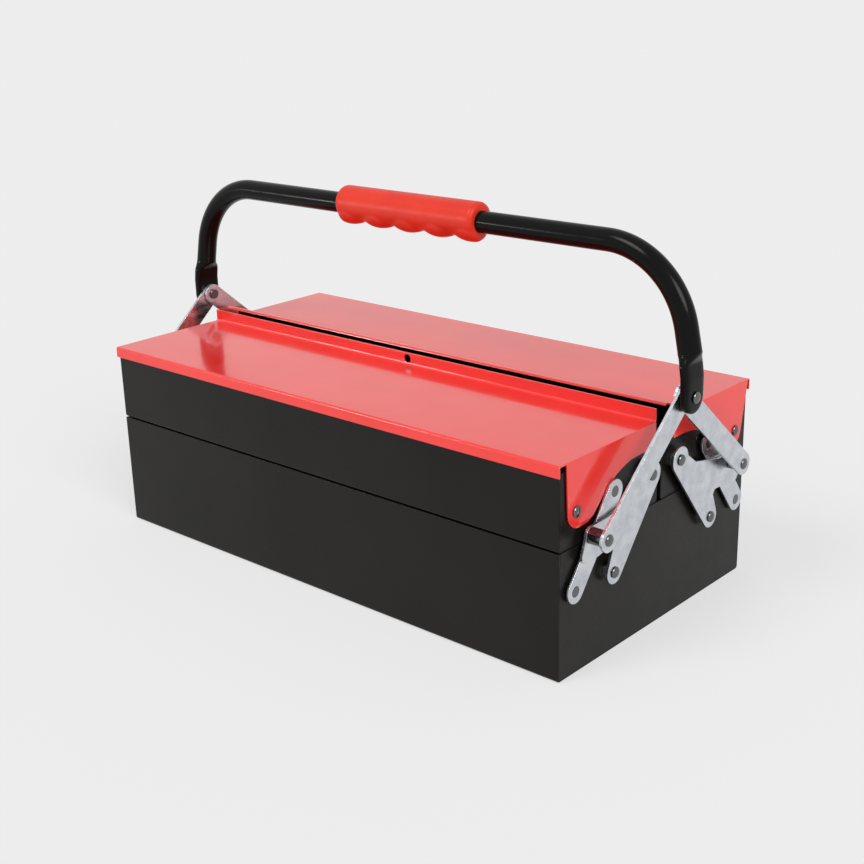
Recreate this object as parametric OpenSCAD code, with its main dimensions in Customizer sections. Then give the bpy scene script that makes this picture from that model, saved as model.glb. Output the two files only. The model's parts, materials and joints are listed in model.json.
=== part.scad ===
// Steel cantilever tool box: a deep lower box, two lidded upper trays that swing
// out sideways on parallel levers, and a bow handle tied to the levers by arms.
// Millimetres, +X along the length, +Y to the rear tray, +Z up.
// The origin is the middle of the lower box's underside.

/* [Box] */
// Outside length of the lower box and the trays
box_l = 430; // [400:5:460]
// Outside width of the closed box
box_w = 220; // [216:2:240]
// Height of the lower box's rim
lower_h = 88; // [86:0.5:88]
// Height of the lids' flat tops above the ground
lid_z = 146; // [145:0.5:150]
// Thickness of the box and tray sheet
sheet = 1; // [0.8:0.1:1.2]
// Width of the gap between the two upper trays
tray_gap = 4; // [3:0.5:6]

/* [Lids] */
// Depth of the skirt along a lid's long outer edge
skirt_h = 8; // [7.5:0.5:10]
// Height of the raised ridge along the middle
ridge_h = 9; // [8:0.5:9]
// Width of the slot between the ridge and the rear lid
lid_gap = 10; // [8:0.5:11]
// Diameter of the hole in the front lid's ridge
ridge_hole_d = 6.5; // [4:0.5:6.5]

/* [Linkage] */
// Thickness of the levers, links and arms
strap_t = 2; // [1.5:0.1:2]
// Width of the handle's arms
arm_w = 16; // [14:0.5:17]
// Diameter of the rivet shanks
shank_d = 5; // [4:0.5:5]
// Diameter of the rivet heads
head_d = 8; // [7:0.5:9]

/* [Handle] */
// Diameter of the handle tube
tube_d = 15.5; // [14:0.5:16]
// Height of the handle's top centreline
handle_z = 258; // [252:1:262]
// Bend radius of the handle tube at its centreline
bend_r = 62; // [56:1:64]
// Length of the hand grip
grip_l = 132; // [124:2:140]
// Diameter of the hand grip's smooth upper body
grip_d = 25; // [24.5:0.5:26]

/* [Hidden] */
$fn = 64;

// Clearances
run = 0.06;       // radial clearance of a rivet shank in a moving piece
side = 0.4;       // gap between neighbouring pieces that slide past each other
fit = 0.02;       // radial clearance of a shank in its own body's pieces
cut = 1;          // how far a cutter runs past a face
end_x = box_l / 2;
side_y = box_w / 2;

// Pivots of the rear side as [y, z]; the front side mirrors them
lever_foot = [58, 59.5];
link_foot = [96.5, 59.5];
tray_step = [-41, 54];
lever_head = lever_foot + tray_step;
link_head = link_foot + tray_step;
arm_joint = [83, 93.5];
lid_pivot = [94, 112];
handle_pivot = [0, 165];

// Distances from the box's middle to the inner face of each end piece
flange_gap = 0.5;
flange_t = 1;
flange_x = end_x + flange_gap;
link_t = 1.6;
link_x = flange_x + flange_t + side;
lever_x = link_x + link_t + side;
arm_stand = 14;
rear_arm_x = end_x + arm_stand;
front_arm_x = rear_arm_x + strap_t + side;
bush_x = lever_x + strap_t + side;
flat_x = front_arm_x + strap_t + side;
flat_t = 6.5;

// Trays
tray_lift = 0.6;
lid_drop = 5.6;
tray_z = lower_h + tray_lift;
tray_top = lid_z - lid_drop;
tray_y = tray_gap / 2;
fold_r = 2;
lower_hem_h = 8;
tray_hem_h = 6;

// Lids
lid_t = 1;
lid_over = 1.6;
lid_end = flange_x + flange_t;
lid_side = side_y + lid_over;
ridge_z = lid_z + ridge_h;
bend = 1.5;
rear_edge_y = 2.5;
front_ridge_y = lid_gap - rear_edge_y + lid_t;
front_flange_y = front_ridge_y - lid_t;
rear_ridge_z = ridge_z + 0.6;
rear_slope_y = 27.5;
rear_flange_y = 14;
front_flange_out_y = 104.3;
rear_flange_out_y = 109.3;
flange_h = 17.2;
ear_y = 91;
ear_r = 11.5;
ear_drop = lid_z - lid_pivot[1] + ear_r;

// The shaped lower edge of a lid's end flange, as [y, drop below the lid's top], from the middle outward
flange_edge = [[25, 17.2], [36, 17.8], [44, 19.9], [52, 23.1], [60, 28], [68, 34.8], [76, 42.2], [82, 45]];

// Levers and links
lever_head_r = 9.3;
lever_foot_r = 8;
link_r = 8;
lever_notch = [[60.5, 75.5], [62.5, 78.4], [69.5, 78.4], [77.5, 77]];  // lower edge, foot to shoulder
lever_corner = [88.5, 81.5];
lever_corner_r = 5;
shoulder_r = 6.5;
lever_top = [[66, 100.2], [36, 106.8]];  // upper edge, shoulder to head

// Rivets
shank_r = shank_d / 2;
head_r = head_d / 2;
head_t = 1.8;
inner_head_t = 1.2;
inner_head_r = 3.4;
sink_r = 3.8;     // radius of a link rivet's sunk head
sink_h = 1.2;     // depth of a link rivet's sunk head
spacer_r = 5.5;
slim_spacer_r = 3.6;

// Handle
tube_r = tube_d / 2;
flat_w = 22;
lean = 11.6;
bend_in = 44;     // how far the bends' centres stand inside the box's ends
bend_x = end_x - bend_in;
bend_z = handle_z - bend_r;
pinch_z = 194;
pinch_x = bend_x + bend_r * cos(lean) + (bend_z + bend_r * sin(lean) - pinch_z) * tan(lean);
pinch_l = 16;
pinch_in = 0.4;   // how far the pressed end stands inside the flat below it
pinch_n = 5;
bend_n = 12;
tube_sides = 32;
grip_r = grip_d / 2;
grip_rise = 1.2;        // how far the upper body's axis stands above the tube's
grip_edge = 3.5;        // rounding of the grip's ends
bump_r = 11.5;          // radius of the underside at the middle of a finger bump
bump_drop = 3.2;        // how far the underside's axis lies below the tube's
bump_depth = 3.6;       // from a bump's middle to the notch beside it
bump_pitch = 0.22 * grip_l;
bump_steps = 4;

PAINT_BLACK = [0.10, 0.095, 0.09];
PAINT_RED = [0.87, 0.07, 0.06];
ZINC = [0.76, 0.78, 0.81];
NICKEL = [0.42, 0.43, 0.45];
TUBE_BLACK = [0.05, 0.05, 0.05];
GRIP_RED = [0.93, 0.18, 0.10];

// ---- helpers ----

// A flat shape drawn in y and z, made a plate from x to x + t
module plate(x, t) {
    translate([x, 0, 0]) rotate([90, 0, 90]) linear_extrude(t) children();
}

// A cylinder along x from x to x + len, centred on p = [y, z]
module rod(p, x, len, r) {
    translate([x, p[0], p[1]]) rotate([0, 90, 0]) cylinder(h = len, r = r);
}

module both_ends() {
    children();
    mirror([1, 0, 0]) children();
}

module front() {
    mirror([0, 1, 0]) children();
}

// Points of an arc about c from angle a0 to a1
function arc(c, r, a0, a1, n) =
    [for (i = [0:n]) let (a = a0 + (a1 - a0) * i / n) c + r * [cos(a), sin(a)]];

// A straight bar with round ends of radius r, from p to q
module bar(p, q, r) {
    a = atan2(q[1] - p[1], q[0] - p[0]);
    polygon(concat(arc(p, r, a + 90, a + 270, 16), arc(q, r, a - 90, a + 90, 16)));
}

// The direction square to the step from p to q, turned to its left
function left_of(p, q) = [p[1] - q[1], q[0] - p[0]] / norm(q - p);

// The path shifted to its left by t, with mitred corners
function shifted(path, t) = let (last = len(path) - 1) [
    for (i = [0:last]) let (
        a = i > 0 ? left_of(path[i - 1], path[i]) : left_of(path[0], path[1]),
        b = i < last ? left_of(path[i], path[i + 1]) : a
    ) path[i] + (a + b) * (t / (1 + a * b))
];

// A path reversed
function turned(path) = [for (i = [len(path) - 1:-1:0]) path[i]];

// A bent sheet of thickness t, whose outer face follows the path
module bent_sheet(path, t) {
    polygon(concat(path, turned(shifted(path, t))));
}

// A profile of radius against x, revolved about the line through p along x
module revolved(p, points) {
    translate([0, p[0], p[1]]) rotate([0, 90, 0]) rotate_extrude() polygon(points);
}

// Profile points of a domed head of height h that stands on x
function head_points(x, h) = [for (a = [0:18:90]) [head_r * cos(a), x + h * sin(a)]];

// A rivet through the end wall, with its domed head of height h standing on x
module rivet(p, x, h) {
    start = end_x - sheet - inner_head_t;
    revolved(p, concat(
        [[0, start], [inner_head_r, start], [inner_head_r, end_x - sheet], [shank_r, end_x - sheet],
         [shank_r, x]],
        head_points(x, h)
    ));
}

// A rivet through the end wall, with a sunk head flush with x
module sunk_rivet(p, x) {
    start = end_x - sheet - inner_head_t;
    revolved(p, [
        [0, start], [inner_head_r, start], [inner_head_r, end_x - sheet], [shank_r, end_x - sheet],
        [shank_r, x - sink_h], [sink_r, x], [0, x]
    ]);
}

// The hole for a sunk rivet in a plate of thickness t whose outer face is at x
module sunk_hole(p, x, t) {
    slope = (sink_r - shank_r) / sink_h;
    revolved(p, [
        [0, x - t - cut], [shank_r + run, x - t - cut], [shank_r + run, x - sink_h],
        [sink_r + run + cut * slope, x + cut], [0, x + cut]
    ]);
}

module spacer(p, x, len, r) {
    difference() {
        rod(p, x, len, r);
        rod(p, x - cut, len + 2 * cut, shank_r + fit);
    }
}

// ---- box and trays ----

// The fold between the floor and a long wall: points of its arc at radius r, from angle a0 to a1
function fold(y, z, r, a0, a1) = arc([y, z], r, a0, a1, 4);

// A floor and two long walls folded from one sheet, with hems folded inside their rims
module trough(y0, y1, z0, z1, hem_h) {
    low = z0 + fold_r;
    plate(-end_x, box_l) polygon(concat(
        [[y0, z1]],
        fold(y0 + fold_r, low, fold_r, 180, 270),
        fold(y1 - fold_r, low, fold_r, 270, 360),
        [[y1, z1], [y1 - 2 * sheet, z1], [y1 - 2 * sheet, z1 - hem_h], [y1 - sheet, z1 - hem_h]],
        fold(y1 - fold_r, low, fold_r - sheet, 360, 270),
        fold(y0 + fold_r, low, fold_r - sheet, 270, 180),
        [[y0 + sheet, z1 - hem_h], [y0 + 2 * sheet, z1 - hem_h], [y0 + 2 * sheet, z1]]
    ));
}

// The panel that closes a trough's end, with its own hem and the rivet holes
module end_panel(y0, y1, z0, z1, hem_h, points) {
    low = z0 + fold_r;
    hem_z = z1 - hem_h;
    difference() {
        plate(end_x - 2 * sheet, 2 * sheet) polygon(concat(
            [[y0 + 2 * sheet, z1], [y0 + 2 * sheet, hem_z], [y0 + sheet, hem_z]],
            fold(y0 + fold_r, low, fold_r - sheet, 180, 270),
            fold(y1 - fold_r, low, fold_r - sheet, 270, 360),
            [[y1 - sheet, hem_z], [y1 - 2 * sheet, hem_z], [y1 - 2 * sheet, z1]]
        ));
        plate(end_x - 2 * sheet - cut, sheet + cut) difference() {
            translate([y0, z0]) square([y1 - y0, z1 - z0 + cut]);
            translate([y0 + 2 * sheet, hem_z]) square([y1 - y0 - 4 * sheet, hem_h + 2 * cut]);
        }
        for (p = points) rod(p, end_x - 2 * sheet - cut, 2 * sheet + 2 * cut, shank_r + fit);
    }
}

module lower_box() { color(PAINT_BLACK) trough(-side_y, side_y, 0, lower_h, lower_hem_h); }

module lower_box_ends() {
    feet = [lever_foot, link_foot];
    color(PAINT_BLACK) both_ends()
        end_panel(-side_y, side_y, 0, lower_h, lower_hem_h, concat(feet, [for (p = feet) [-p[0], p[1]]]));
}

module tray() { color(PAINT_BLACK) trough(tray_y, side_y, tray_z, tray_top, tray_hem_h); }

module tray_ends() {
    color(PAINT_BLACK) both_ends()
        end_panel(tray_y, side_y, tray_z, tray_top, tray_hem_h, [lever_head, link_head, lid_pivot]);
}

// ---- lids ----

// The outer face of the front lid, drawn with +y outward
function front_lid_path() = concat(
    [[lid_side, lid_z - skirt_h]],
    arc([lid_side - bend, lid_z - bend], bend, 0, 90, 3),
    arc([front_ridge_y + bend, lid_z + bend], bend, 270, 180, 3),
    [[front_ridge_y, ridge_z]]
);

// The outer face of the rear lid, drawn with +y outward
function rear_lid_path() = concat(
    [[lid_side, lid_z - skirt_h]],
    arc([lid_side - bend, lid_z - bend], bend, 0, 90, 3),
    [[rear_slope_y, lid_z], [rear_edge_y + 2 * bend, rear_ridge_z]],
    arc([rear_edge_y + bend, rear_ridge_z - bend], bend, 80, 180, 3)
);

// An end flange with its ear round the lid's pivot; top is its upper edge, which starts at out_y
module flange_outline(top, out_y) {
    inner_y = top[len(top) - 1][0];
    polygon(concat(
        top,
        [[inner_y, lid_z - flange_h]],
        [for (p = flange_edge) [p[0], lid_z - p[1]]],
        arc([ear_y, lid_z - ear_drop + ear_r], ear_r, -90, 0, 8),
        [[out_y, lid_z - lid_t / 2]]
    ));
}

module lid(path, flange_top, out_y) {
    difference() {
        union() {
            plate(-lid_end, 2 * lid_end) bent_sheet(path, lid_t);
            both_ends() plate(flange_x, flange_t) flange_outline(flange_top, out_y);
        }
        both_ends() rod(lid_pivot, flange_x - cut, flange_t + 2 * cut, shank_r + run);
    }
}

module front_lid() {
    color(PAINT_RED) front() difference() {
        lid(front_lid_path(), [[front_flange_y, lid_z - lid_t / 2]], front_flange_out_y);
        translate([0, front_ridge_y + cut, lid_z + ridge_h / 2]) rotate([90, 0, 0])
            cylinder(h = lid_t + 2 * cut, d = ridge_hole_d);
    }
}

module rear_lid() {
    slope = (rear_ridge_z - lid_z) / (rear_slope_y - rear_edge_y - 2 * bend);
    flange_rise = (rear_slope_y - rear_flange_y) * slope;
    color(PAINT_RED) lid(rear_lid_path(), [
        [rear_slope_y, lid_z - lid_t / 2], [rear_flange_y, lid_z - lid_t / 2 + flange_rise]
    ], rear_flange_out_y);
}

// ---- rivets and spacers ----

module lever_rivet(p) { rivet(p, lever_x + strap_t + side, head_t); }
module link_rivet(p) { sunk_rivet(p, link_x + link_t); }
module lever_spacer(p) { spacer(p, end_x, lever_x - end_x - side, spacer_r); }
module link_spacer(p) { spacer(p, end_x, link_x - end_x - side, slim_spacer_r); }

module both_sides() {
    both_ends() {
        children();
        front() children();
    }
}

module lever_pivot_rivets() { color(NICKEL) both_sides() lever_rivet(lever_foot); }
module link_pivot_rivets() { color(NICKEL) both_sides() link_rivet(link_foot); }

module lower_spacers() {
    color(ZINC) both_sides() {
        lever_spacer(lever_foot);
        link_spacer(link_foot);
    }
}

module tray_rivets() {
    color(NICKEL) both_ends() {
        lever_rivet(lever_head);
        link_rivet(link_head);
    }
}

module tray_spacers() {
    color(ZINC) both_ends() {
        lever_spacer(lever_head);
        link_spacer(link_head);
    }
}

module lid_rivets() { color(NICKEL) both_ends() rivet(lid_pivot, lid_end + side, head_t); }

// ---- levers, links and arms ----

// Lever plate: head on the tray, foot on the lower box, shoulder under the arm
module lever_outline() {
    edge = atan2(lever_head[0] - lever_foot[0], lever_foot[1] - lever_head[1]) + 360;
    polygon(concat(
        arc(lever_head, lever_head_r, 5, edge, 14),
        arc(lever_foot, lever_foot_r, edge, 385, 10),
        lever_notch,
        arc(lever_corner, lever_corner_r, 258, 395, 6),
        arc(arm_joint, shoulder_r, 0, 78, 6),
        lever_top
    ));
}

module lever() {
    color(ZINC) difference() {
        plate(lever_x, strap_t) lever_outline();
        for (p = [lever_foot, lever_head, arm_joint])
            rod(p, lever_x - cut, strap_t + 2 * cut, shank_r + run);
    }
}

module link() {
    color(ZINC) difference() {
        plate(link_x, link_t) bar(link_foot, link_head, link_r);
        for (p = [link_foot, link_head]) sunk_hole(p, link_x + link_t, link_t);
    }
}

module arm(x) {
    color(ZINC) difference() {
        plate(x, strap_t) bar(handle_pivot, arm_joint, arm_w / 2);
        rod(handle_pivot, x - cut, strap_t + 2 * cut, shank_r + run);
        rod(arm_joint, x - cut, strap_t + 2 * cut, shank_r + fit);
    }
}

// The bush between an arm's end and the lever's shoulder
module arm_bushes(x) {
    color(ZINC) both_ends() spacer(arm_joint, bush_x, x - bush_x, spacer_r);
}

module arm_rivets(x) {
    head_x = x + strap_t;
    color(NICKEL) both_ends() revolved(arm_joint, concat(
        [[0, bush_x], [shank_r, bush_x], [shank_r, head_x]], head_points(head_x, head_t)
    ));
}

// ---- handle ----

module handle_pivot_rivets() {
    inner_x = rear_arm_x - side;
    outer_x = flat_x + flat_t + side;
    color(NICKEL) both_ends() revolved(handle_pivot, concat(
        [[0, inner_x - inner_head_t], [head_r, inner_x - inner_head_t], [head_r, inner_x],
         [shank_r, inner_x], [shank_r, outer_x]],
        head_points(outer_x, head_t)
    ));
}

// A station of the bow: centre x and z, lean of its section, half thickness, half width
function bend_stations() = [
    for (i = [0:bend_n]) let (a = 90 - (90 - lean) * i / bend_n)
        [bend_x + bend_r * cos(a), bend_z + bend_r * sin(a), a, tube_r, tube_r]
];

// Where the leg is pressed from round to flat, at share s of the way
function pinch_station(s) = [
    pinch_x + (flat_x + flat_t / 2 - pinch_x) * s, pinch_z - pinch_l * s, lean * (1 - s),
    tube_r + (flat_t / 2 - pinch_in - tube_r) * s, tube_r + (flat_w / 2 - pinch_in - tube_r) * s
];

// A station's outline as a ring of points; hand is 1 on the right and -1 on the left
function ring(st, hand) = [
    for (k = [0:tube_sides - 1]) let (t = 360 * k / tube_sides)
        [hand * (st[0] + st[3] * cos(t) * cos(st[2])), st[4] * sin(t), st[1] + st[3] * cos(t) * sin(st[2])]
];

// A tube skinned over rings of n points, closed by flat ends
module skin(rings, n) {
    last = len(rings) - 1;
    polyhedron(
        points = [for (r = rings) for (p = r) p],
        faces = concat(
            [[for (k = [n - 1:-1:0]) k]],
            [for (i = [0:last - 1], k = [0:n - 1])
                [i * n + k, i * n + (k + 1) % n, (i + 1) * n + (k + 1) % n, (i + 1) * n + k]],
            [[for (k = [0:n - 1]) last * n + k]]
        )
    );
}

module handle_tube() {
    half = concat(bend_stations(), [for (i = [0:pinch_n]) pinch_station(i / pinch_n)]);
    color(TUBE_BLACK) difference() {
        union() {
            skin(concat([for (st = turned(half)) ring(st, -1)], [for (st = half) ring(st, 1)]), tube_sides);
            both_ends() plate(flat_x, flat_t)
                bar(handle_pivot, [0, pinch_z - pinch_l], flat_w / 2);
        }
        both_ends() rod(handle_pivot, flat_x - cut, flat_t + 2 * cut, shank_r + run);
    }
}

// A radius at x, less what the rounding of the grip's ends takes off it
function rounded_off(r, x) =
    let (over = max(0, abs(x) - grip_l / 2 + grip_edge))
    r - grip_edge + sqrt(pow(grip_edge, 2) - pow(over, 2));

// Radius of the underside at x: a bump for each finger, with sharp notches between
function bump_at(x) =
    let (off = x - bump_pitch * round(x / bump_pitch))
    rounded_off(bump_r - bump_depth * pow(2 * off / bump_pitch, 2), x);

// A round body along x whose profile is a list of [radius, x]
module grip_body(z, profile) {
    half = grip_l / 2;
    revolved([0, handle_z + z], concat([[0, -half]], profile, [[0, half]]));
}

module handle_grip() {
    half = grip_l / 2;
    ends = [for (a = [0:30:90]) half - grip_edge * (1 - sin(a))];
    low = [for (x = [for (i = [0:bump_steps * 2]) i * bump_pitch / bump_steps]) if (x < ends[0]) x];
    right = concat(low, ends);
    color(GRIP_RED) difference() {
        union() {
            grip_body(grip_rise, concat(
                [for (x = turned(ends)) [rounded_off(grip_r, x), -x]],
                [for (x = ends) [rounded_off(grip_r, x), x]]
            ));
            grip_body(-bump_drop, concat(
                [for (i = [len(right) - 1:-1:1]) [bump_at(right[i]), -right[i]]],
                [for (x = right) [bump_at(x), x]]
            ));
        }
        translate([-half - cut, 0, handle_z]) rotate([0, 90, 0])
            cylinder(h = grip_l + 2 * cut, r = tube_r + fit);
    }
}

// ---- nodes ----

module front_lever_right() { front() lever(); }
module front_lever_left() { mirror([1, 0, 0]) front() lever(); }
module rear_lever_right() { lever(); }
module rear_lever_left() { mirror([1, 0, 0]) lever(); }
module front_link_right() { front() link(); }
module front_link_left() { mirror([1, 0, 0]) front() link(); }
module rear_link_right() { link(); }
module rear_link_left() { mirror([1, 0, 0]) link(); }
module front_arm_right() { front() arm(front_arm_x); }
module front_arm_left() { mirror([1, 0, 0]) front() arm(front_arm_x); }
module rear_arm_right() { arm(rear_arm_x); }
module rear_arm_left() { mirror([1, 0, 0]) arm(rear_arm_x); }
module front_arm_bushes() { front() arm_bushes(front_arm_x); }
module front_arm_rivets() { front() arm_rivets(front_arm_x); }
module rear_arm_bushes() { arm_bushes(rear_arm_x); }
module rear_arm_rivets() { arm_rivets(rear_arm_x); }
module front_tray() { front() tray(); }
module front_tray_ends() { front() tray_ends(); }
module front_tray_rivets() { front() tray_rivets(); }
module front_tray_spacers() { front() tray_spacers(); }
module front_lid_rivets() { front() lid_rivets(); }
module rear_tray() { tray(); }
module rear_tray_ends() { tray_ends(); }
module rear_tray_rivets() { tray_rivets(); }
module rear_tray_spacers() { tray_spacers(); }
module rear_lid_rivets() { lid_rivets(); }

lower_box();
lower_box_ends();
lever_pivot_rivets();
link_pivot_rivets();
lower_spacers();
front_lever_right();
front_lever_left();
rear_lever_right();
rear_lever_left();
front_link_right();
front_link_left();
rear_link_right();
rear_link_left();
front_tray();
front_tray_ends();
front_tray_rivets();
front_tray_spacers();
front_lid_rivets();
rear_tray();
rear_tray_ends();
rear_tray_rivets();
rear_tray_spacers();
rear_lid_rivets();
front_lid();
rear_lid();
handle_pivot_rivets();
front_arm_right();
front_arm_left();
rear_arm_right();
rear_arm_left();
front_arm_bushes();
front_arm_rivets();
rear_arm_bushes();
rear_arm_rivets();
handle_tube();
handle_grip();
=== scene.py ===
"""Cantilever tool box: looks, camera and light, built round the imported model."""
import json
import math

import bmesh
import bpy
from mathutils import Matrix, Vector


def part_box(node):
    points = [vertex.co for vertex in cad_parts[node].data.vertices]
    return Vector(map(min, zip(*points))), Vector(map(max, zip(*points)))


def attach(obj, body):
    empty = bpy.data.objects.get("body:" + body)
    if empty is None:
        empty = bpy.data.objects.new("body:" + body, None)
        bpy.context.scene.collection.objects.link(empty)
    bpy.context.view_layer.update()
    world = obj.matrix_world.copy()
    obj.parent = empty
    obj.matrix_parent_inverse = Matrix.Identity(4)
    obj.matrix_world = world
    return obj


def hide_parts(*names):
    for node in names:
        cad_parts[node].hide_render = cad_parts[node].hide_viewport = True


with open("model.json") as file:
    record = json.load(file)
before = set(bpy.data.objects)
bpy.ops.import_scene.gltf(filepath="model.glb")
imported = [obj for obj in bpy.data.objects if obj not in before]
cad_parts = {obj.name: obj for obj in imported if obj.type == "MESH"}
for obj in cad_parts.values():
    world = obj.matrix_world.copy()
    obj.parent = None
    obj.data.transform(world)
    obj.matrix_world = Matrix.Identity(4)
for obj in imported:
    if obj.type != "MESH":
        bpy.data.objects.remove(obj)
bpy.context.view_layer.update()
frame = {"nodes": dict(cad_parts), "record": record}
scene = bpy.context.scene
MM = 0.001

# ---- camera: the photograph's viewpoint ----

CAMERA_PLACE = (0.6767, -0.7329, 0.4401)
CAMERA_TURN = (70.662, 1.401, 41.581)  # degrees about X, Y and Z
CAMERA_LENS = 58.1
SENSOR = 36.0

camera_data = bpy.data.cameras.new("photo_camera")
camera_data.lens = CAMERA_LENS
camera_data.sensor_width = SENSOR
camera = bpy.data.objects.new("photo_camera", camera_data)
camera.location = CAMERA_PLACE
camera.rotation_euler = [math.radians(a) for a in CAMERA_TURN]
scene.collection.objects.link(camera)
scene.camera = camera
scene.view_settings.view_transform = "Standard"

# ---- materials ----

NOISE_LOW, NOISE_HIGH = 0.3, 0.7  # most of a noise texture's values lie between these
MIX_FACTOR, MIX_A, MIX_B, MIX_RESULT = 0, 6, 7, 2  # a colour mix's sockets, whose names repeat
COAT_ROUGHNESS = 0.05


class Shader:
    """A Principled material with helpers that add texture nodes in the frame's metres."""

    def __init__(self, name, color, metallic, roughness, ior=1.5, coat=0.0):
        self.material = bpy.data.materials.new(name + "_finish")
        self.material.use_nodes = True
        self.tree = self.material.node_tree
        self.surface = self.tree.nodes["Principled BSDF"]
        for socket, value in (
            ("Base Color", (*color, 1)),
            ("Metallic", metallic),
            ("Roughness", roughness),
            ("IOR", ior),
            ("Coat Weight", coat),
            ("Coat Roughness", COAT_ROUGHNESS),
        ):
            self.surface.inputs[socket].default_value = value
        self.place = self.add("ShaderNodeTexCoord").outputs["Object"]
        self.normal = None

    def add(self, kind):
        return self.tree.nodes.new(kind)

    def link(self, a, b):
        self.tree.links.new(a, b)

    def noise(self, scale, detail=3.0, stretch=(1, 1, 1)):
        mapping = self.add("ShaderNodeMapping")
        mapping.inputs["Scale"].default_value = stretch
        self.link(self.place, mapping.inputs["Vector"])
        texture = self.add("ShaderNodeTexNoise")
        texture.inputs["Scale"].default_value = scale
        texture.inputs["Detail"].default_value = detail
        self.link(mapping.outputs["Vector"], texture.inputs["Vector"])
        return texture.outputs["Fac"]

    def spread(self, value, low, high):
        """A noise value, which lies mostly in the middle of 0 to 1, spread from low to high."""
        remap = self.add("ShaderNodeMapRange")
        remap.inputs["From Min"].default_value = NOISE_LOW
        remap.inputs["From Max"].default_value = NOISE_HIGH
        remap.inputs["To Min"].default_value = low
        remap.inputs["To Max"].default_value = high
        self.link(value, remap.inputs["Value"])
        return remap.outputs["Result"]

    def vary_roughness(self, value, low, high):
        self.link(self.spread(value, low, high), self.surface.inputs["Roughness"])

    def vary_color(self, value, dark, light):
        mix = self.add("ShaderNodeMix")
        mix.data_type = "RGBA"
        mix.inputs[MIX_A].default_value = (*dark, 1)
        mix.inputs[MIX_B].default_value = (*light, 1)
        self.link(self.spread(value, 0, 1), mix.inputs[MIX_FACTOR])
        self.link(mix.outputs[MIX_RESULT], self.surface.inputs["Base Color"])

    def bump(self, height, distance, strength):
        """Relief of that depth in metres, added over any relief made before it."""
        node = self.add("ShaderNodeBump")
        node.inputs["Strength"].default_value = strength
        node.inputs["Distance"].default_value = distance
        self.link(height, node.inputs["Height"])
        if self.normal:
            self.link(self.normal, node.inputs["Normal"])
        self.normal = node.outputs["Normal"]
        self.link(self.normal, self.surface.inputs["Normal"])


def black_paint():
    s = Shader("black_paint", (0.006, 0.0052, 0.0048), 0.0, 0.3, ior=1.27)
    s.vary_color(s.noise(9), (0.0045, 0.0036, 0.0031), (0.008, 0.0066, 0.0058))
    s.vary_roughness(s.noise(60, 5), 0.24, 0.36)
    s.bump(s.noise(7, 1), 0.0004, 0.25)
    s.bump(s.noise(1500, 2), 0.00002, 0.4)
    return s.material


def red_paint():
    s = Shader("red_paint", (0.78, 0.03, 0.024), 0.0, 0.2, ior=1.5, coat=0.35)
    s.vary_color(s.noise(14), (0.76, 0.026, 0.02), (0.8, 0.034, 0.028))
    s.vary_roughness(s.noise(50, 5), 0.13, 0.22)
    s.bump(s.noise(8, 1), 0.0003, 0.2)
    s.bump(s.noise(1100, 2), 0.00002, 0.4)
    return s.material


def zinc():
    s = Shader("zinc", (0.6, 0.62, 0.66), 1.0, 0.3)
    s.vary_color(s.noise(130, 6), (0.52, 0.545, 0.585), (0.68, 0.7, 0.73))
    s.vary_roughness(s.noise(320, 5, (1, 0.12, 1)), 0.2, 0.36)
    s.bump(s.noise(900, 4, (1, 0.08, 1)), 0.00003, 0.5)
    return s.material


def nickel():
    s = Shader("nickel", (0.15, 0.15, 0.155), 1.0, 0.15)
    s.vary_roughness(s.noise(500, 4), 0.1, 0.2)
    s.bump(s.noise(1400, 3), 0.00002, 0.4)
    return s.material


def black_tube():
    s = Shader("black_tube", (0.003, 0.0028, 0.0027), 0.0, 0.16, ior=1.21)
    s.vary_roughness(s.noise(90, 4), 0.12, 0.22)
    s.bump(s.noise(900, 2), 0.00002, 0.35)
    return s.material


def red_grip():
    s = Shader("red_grip", (0.65, 0.028, 0.01), 0.0, 0.4, ior=1.36)
    s.vary_color(s.noise(35, 4), (0.61, 0.023, 0.0085), (0.69, 0.034, 0.0125))
    s.vary_roughness(s.noise(150, 4), 0.34, 0.46)
    s.bump(s.noise(1800, 3), 0.00005, 0.6)
    return s.material


FINISHES = (black_paint, red_paint, zinc, nickel, black_tube, red_grip)
MATERIALS = {make.__name__: make() for make in FINISHES}
SLOTS = {row["node"]: row["material_slot"] for row in frame["record"]["subparts"]}
BODIES = {n: body for body, names in frame["record"]["behaviour"]["bodies"].items() for n in names}

# ---- sheet, strap and rivet pieces: the solids with their edges eased ----

WELD = 1e-6                 # metres, under which two vertices become one
FLAT = math.radians(0.4)    # faces closer than this to one plane become one
CREASE = math.radians(32)   # edges sharper than this are eased
EASE = {"black_paint": 0.35, "red_paint": 0.35, "zinc": 0.3, "nickel": 0.25}  # mm
EASE_SEGMENTS = 2
LARGE_FACE_WEIGHT = 100     # the large faces alone decide the shading, so they look flat


def eased(node):
    """A copy of a node's shape with its sharp edges rounded off, which stands for the node."""
    mesh = frame["nodes"][node].data.copy()
    shape = bmesh.new()
    shape.from_mesh(mesh)
    bmesh.ops.remove_doubles(shape, verts=shape.verts, dist=WELD)
    bmesh.ops.dissolve_limit(shape, angle_limit=FLAT, verts=shape.verts, edges=shape.edges)
    shape.to_mesh(mesh)
    shape.free()
    mesh.materials.clear()
    mesh.materials.append(MATERIALS[SLOTS[node]])
    mesh.shade_smooth()
    piece = bpy.data.objects.new(node + "_eased", mesh)
    scene.collection.objects.link(piece)
    bevel = piece.modifiers.new("ease", "BEVEL")
    bevel.width = EASE[SLOTS[node]] * MM
    bevel.segments = EASE_SEGMENTS
    bevel.limit_method = "ANGLE"
    bevel.angle_limit = CREASE
    weighted = piece.modifiers.new("flat_faces", "WEIGHTED_NORMAL")
    weighted.weight = LARGE_FACE_WEIGHT
    weighted.keep_sharp = True
    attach(piece, BODIES[node])
    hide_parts(node)


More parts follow.
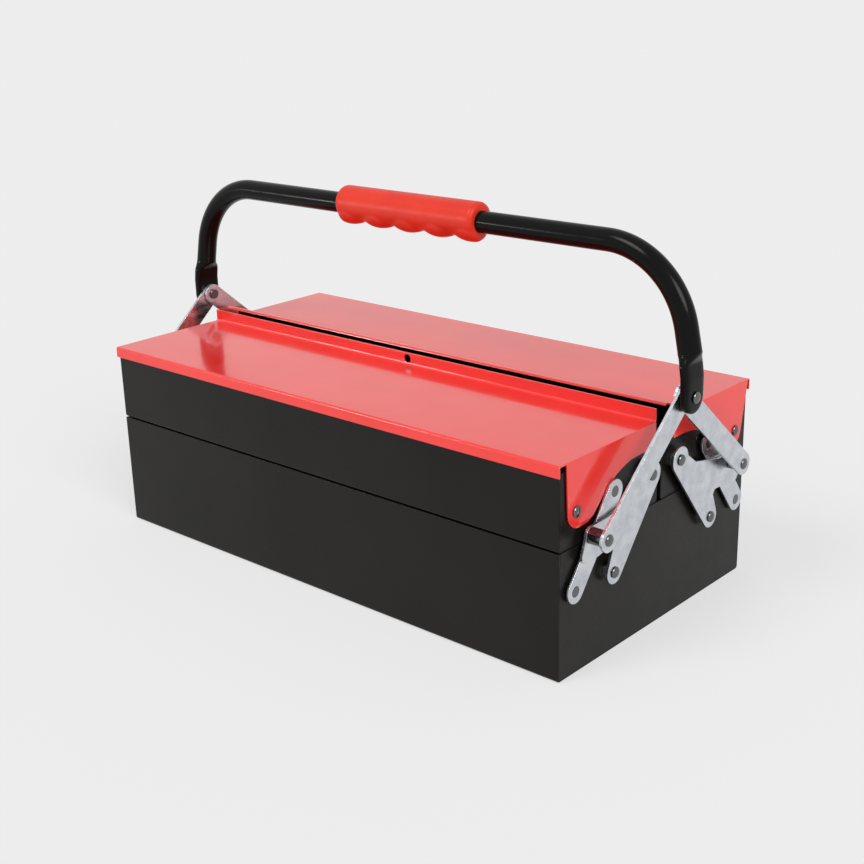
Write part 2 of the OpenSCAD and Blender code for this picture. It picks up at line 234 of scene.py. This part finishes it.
OWN_SHAPE = ("handle_tube", "handle_grip")
for name in sorted(frame["nodes"]):
    if name not in OWN_SHAPE:
        eased(name)

# ---- handle: the bow and its moulded grip, swept along the CAD's own line (all in mm) ----

HANDLE_Z = 258      # the tube's axis in the grip
TUBE_R = 7.75
BEND_R = 62
BEND_X = 171        # the centre of the right bend
LEAN = math.radians(11.6)  # the legs' lean outward
PINCH_Z = 194       # where the tube starts to be pressed flat
PINCH_L = 16
ARM_GAP = 0.4       # from an arm's outer face to the pressed flat
FLAT_T = 6.5
FLAT_W = 22
FLAT_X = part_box("front_arm_right")[1].x / MM + ARM_GAP + FLAT_T / 2  # its middle
PIVOT_Z = 165       # the handle's rivets
SKIN = 0.05         # how far the piece stays inside the CAD flat

ROUND = 48          # points round the bow's section
BEND_STEPS = 28
PINCH_STEPS = 32
FLAT_STEPS = 4
TURN_STEPS = 18     # round the flat's lower end

PINCH_THIN = 0.5    # share of the pinch in which the tube reaches the flat's thickness
PINCH_WIDE = 0.55   # and its width
SQUARE_DROP = 0.55  # how far a section's power falls from a circle's 1 where its sides are square
LIP = 0.15          # the pressed end's low ring, with its place and spread along the pinch
LIP_AT = 0.05
LIP_SPREAD = 0.05
EDGE_THIN = 0.25    # share of the thickness towards which the flat's lower edge thins
EDGE_POWER = 0.35   # and how late it thins: the lower, the later
TIP_THIN = 0.2      # share of the thickness at the very tip
TIP_WIDE = 0.3      # the tip's half width


def swept(name, rings, body, node, material):
    """A closed skin over rings of points given in mm, which stands for a node."""
    count = len(rings[0])
    faces = []
    for i in range(len(rings) - 1):
        near, far = i * count, (i + 1) * count
        for k in range(count):
            after = (k + 1) % count
            faces.append((near + k, near + after, far + after, far + k))
    last = (len(rings) - 1) * count
    faces.append(tuple(range(count))[::-1])
    faces.append(tuple(last + k for k in range(count)))
    mesh = bpy.data.meshes.new(name)
    mesh.from_pydata([Vector(p) * MM for ring in rings for p in ring], [], faces)
    shape = bmesh.new()
    shape.from_mesh(mesh)
    bmesh.ops.recalc_face_normals(shape, faces=shape.faces)
    shape.to_mesh(mesh)
    shape.free()
    mesh.shade_smooth()
    mesh.materials.append(MATERIALS[material])
    piece = bpy.data.objects.new(name, mesh)
    scene.collection.objects.link(piece)
    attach(piece, body)
    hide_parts(node)


def eased_step(t):
    """From 0 to 1 with no slope at either end."""
    return t * t * (3 - 2 * t)


def bow_ring(x, z, tilt, thick, wide, square, hand):
    """One section of the bow.

    thick and wide are half measures, square says how square its sides are, from 0 to 1,
    and hand is 1 for the right half and -1 for the left.
    """
    power = 1 - SQUARE_DROP * square
    ring = []
    for k in range(ROUND):
        a = 2 * math.pi * k / ROUND
        c, q = math.cos(a), math.sin(a)
        u = math.copysign(abs(c) ** power, c) * thick
        v = math.copysign(abs(q) ** power, q) * wide
        ring.append((hand * (x + u * math.cos(tilt)), v, z + u * math.sin(tilt)))
    return ring


def bow_half(hand):
    """The rings from the grip's side of a bend down to the end of the flat, on one side."""
    half_t, half_w = FLAT_T / 2 - SKIN, FLAT_W / 2 - SKIN
    rings = []
    for i in range(BEND_STEPS + 1):
        a = math.pi / 2 - (math.pi / 2 - LEAN) * i / BEND_STEPS
        x = BEND_X + BEND_R * math.cos(a)
        z = HANDLE_Z - BEND_R + BEND_R * math.sin(a)
        rings.append(bow_ring(x, z, a, TUBE_R, TUBE_R, 0, hand))
    leg_x = BEND_X + BEND_R * math.cos(LEAN)
    leg_z = HANDLE_Z - BEND_R + BEND_R * math.sin(LEAN)
    pinch_x = leg_x + (leg_z - PINCH_Z) * math.tan(LEAN)
    for i in range(PINCH_STEPS + 1):
        t = i / PINCH_STEPS
        thin, wide = eased_step(min(1, t / PINCH_THIN)), eased_step(min(1, t / PINCH_WIDE))
        lip = LIP * math.exp(-((t - LIP_AT) / LIP_SPREAD) ** 2)
        x = pinch_x + (FLAT_X - pinch_x) * t
        thick = TUBE_R + (half_t - TUBE_R) * thin + lip
        width = TUBE_R + (half_w - TUBE_R) * wide + lip
        rings.append(bow_ring(x, PINCH_Z - PINCH_L * t, LEAN * (1 - t), thick, width, thin, hand))
    # the flat keeps its thickness down to the pivot
    base = PINCH_Z - PINCH_L
    for i in range(1, FLAT_STEPS + 1):
        z = base + (PIVOT_Z - base) * i / FLAT_STEPS
        rings.append(bow_ring(FLAT_X, z, 0, half_t, half_w, 1, hand))
    # below it the flat ends in a half circle, thinner towards the edge
    for i in range(1, TURN_STEPS + 1):
        a = math.pi / 2 * i / TURN_STEPS
        edge = TIP_THIN
        if i < TURN_STEPS:
            edge = EDGE_THIN + (1 - EDGE_THIN) * math.cos(a) ** EDGE_POWER
        z = PIVOT_Z - half_w * math.sin(a)
        width = max(TIP_WIDE, half_w * math.cos(a))
        rings.append(bow_ring(FLAT_X, z, 0, half_t * edge, width, 1, hand))
    return rings


swept("handle_bow", bow_half(-1)[::-1] + bow_half(1), "handle", "handle_tube", "black_tube")

GRIP_HALF = 66      # half the grip's length
GRIP_R = 12.5       # its back, a circle raised by GRIP_RISE over the tube's axis
GRIP_RISE = 1.2
GRIP_EDGE = 3.5     # the rounding of its ends
BUMP_R = 11.5       # its finger side, a circle lowered by BUMP_DROP
BUMP_DROP = 3.2
BUMP_DEPTH = 3.6    # how far that circle shrinks in the notches
BUMP_PITCH = 29.04
TUBE_CLEAR = 0.02   # between the tube and the ring that closes an end

GRIP_ROUND = 72     # points round the grip's section
GRIP_END_STEPS = 8
BUMP_STEPS = 16
RING_GAP = 0.5      # the least distance from the last even ring to the end's rounding


def rounded_off(r, x):
    """The radius r, less what the rounding of the grip's ends takes off at x."""
    over = max(0.0, abs(x) - GRIP_HALF + GRIP_EDGE)
    return r - GRIP_EDGE + math.sqrt(max(0.0, GRIP_EDGE ** 2 - over ** 2))


def bump_at(x):
    """The radius of the finger side at x."""
    off = x - BUMP_PITCH * round(x / BUMP_PITCH)
    return rounded_off(BUMP_R - BUMP_DEPTH * (2 * off / BUMP_PITCH) ** 2, x)


def reach(r, rise, a):
    """How far a circle of radius r, raised by rise, reaches from the tube's axis at angle a."""
    up = rise * math.sin(a)
    inside = r * r - (rise * math.cos(a)) ** 2
    return up + math.sqrt(inside) if inside > 0 else 0.0


def ring_about_tube(x, radius_at):
    """A ring about the tube's axis at x, whose radius is a function of the angle."""
    ring = []
    for k in range(GRIP_ROUND):
        a = 2 * math.pi * k / GRIP_ROUND
        far = radius_at(a)
        ring.append((x, far * math.cos(a), HANDLE_Z + far * math.sin(a)))
    return ring


def grip_ring(x):
    back, bump = rounded_off(GRIP_R, x), bump_at(x)
    return ring_about_tube(x, lambda a: max(reach(back, GRIP_RISE, a), reach(bump, -BUMP_DROP, a)))


def tube_ring(x):
    return ring_about_tube(x, lambda a: TUBE_R + TUBE_CLEAR)


end_steps = [
    GRIP_HALF - GRIP_EDGE * (1 - math.sin(math.pi / 2 * i / GRIP_END_STEPS))
    for i in range(GRIP_END_STEPS + 1)
]
even_steps = int(end_steps[0] / (BUMP_PITCH / BUMP_STEPS)) + 1
middle = [i * BUMP_PITCH / BUMP_STEPS for i in range(even_steps)]
half_line = [x for x in middle if x < end_steps[0] - RING_GAP] + end_steps
line = [-x for x in half_line[:0:-1]] + half_line
grip_rings = [tube_ring(-GRIP_HALF)] + [grip_ring(x) for x in line] + [tube_ring(GRIP_HALF)]
swept("grip_moulding", grip_rings, "handle", "handle_grip", "red_grip")

# ---- floor, world and lamps ----

BACKDROP = (0.83, 0.83, 0.83, 1)  # the photograph's background, about #EBEBEB
AMBIENT = 0.5        # the world's light on the surfaces
FLOOR_HALF = 40.0
FLOOR_DROP = 0.0005  # so that the floor and the base don't share a plane
SHADOW_SHARE = 0.3   # how much of the floor's look comes from the light on it


def seen_directly(tree):
    """1 for rays from the camera and for reflected and refracted ones.

    It is 0 for light that falls on a surface.
    """
    path = tree.nodes.new("ShaderNodeLightPath")
    last = path.outputs["Is Camera Ray"]
    for other in ("Is Glossy Ray", "Is Transmission Ray"):
        most = tree.nodes.new("ShaderNodeMath")
        most.operation = "MAXIMUM"
        tree.links.new(last, most.inputs[0])
        tree.links.new(path.outputs[other], most.inputs[1])
        last = most.outputs[0]
    return last


def blended(tree, factor, first, second, output):
    """The first shader where factor is 0 and the second where it is 1, as the tree's surface."""
    mix = tree.nodes.new("ShaderNodeMixShader")
    tree.links.new(factor, mix.inputs[0])
    tree.links.new(first.outputs[0], mix.inputs[1])
    tree.links.new(second.outputs[0], mix.inputs[2])
    tree.links.new(mix.outputs[0], tree.nodes[output].inputs["Surface"])


world = bpy.data.worlds.new("studio")
scene.world = world
world.use_nodes = True
sky = world.node_tree
ambient = sky.nodes["Background"]
ambient.inputs["Color"].default_value = (1, 1, 1, 1)
ambient.inputs["Strength"].default_value = AMBIENT
seen = sky.nodes.new("ShaderNodeBackground")
seen.inputs["Color"].default_value = BACKDROP
seen.inputs["Strength"].default_value = 1.0
blended(sky, seen_directly(sky), ambient, seen, "World Output")

floor_mesh = bpy.data.meshes.new("floor")
corners = [
    (x * FLOOR_HALF, y * FLOOR_HALF, -FLOOR_DROP)
    for x, y in ((-1, -1), (1, -1), (1, 1), (-1, 1))
]
floor_mesh.from_pydata(corners, [], [(0, 1, 2, 3)])
floor = bpy.data.objects.new("floor", floor_mesh)
scene.collection.objects.link(floor)
floor_material = bpy.data.materials.new("floor")
floor_material.use_nodes = True
ground = floor_material.node_tree
lit = ground.nodes["Principled BSDF"]
lit.inputs["Base Color"].default_value = BACKDROP
lit.inputs["Roughness"].default_value = 1.0
lit.inputs["Specular IOR Level"].default_value = 0.0
even = ground.nodes.new("ShaderNodeEmission")
even.inputs["Color"].default_value = BACKDROP
share = ground.nodes.new("ShaderNodeMath")
share.operation = "MULTIPLY"
share.inputs[1].default_value = 1 - SHADOW_SHARE
ground.links.new(seen_directly(ground), share.inputs[0])
blended(ground, share.outputs[0], lit, even, "Material Output")
floor_mesh.materials.append(floor_material)


def sun(name, toward, strength, spread):
    """A soft lamp that shines evenly from the direction toward, spread over that many degrees."""
    data = bpy.data.lights.new(name, "SUN")
    data.energy = strength
    data.angle = math.radians(spread)
    lamp = bpy.data.objects.new(name, data)
    lamp.rotation_euler = Vector(toward).to_track_quat("Z", "Y").to_euler()
    scene.collection.objects.link(lamp)


sun("key", (-0.35, -1.0, 1.15), 1.2, 24)
sun("end_fill", (1.0, -0.35, 0.7), 1.65, 30)
sun("tube_glint", (-0.665, -0.72, 0.06), 0.36, 8)
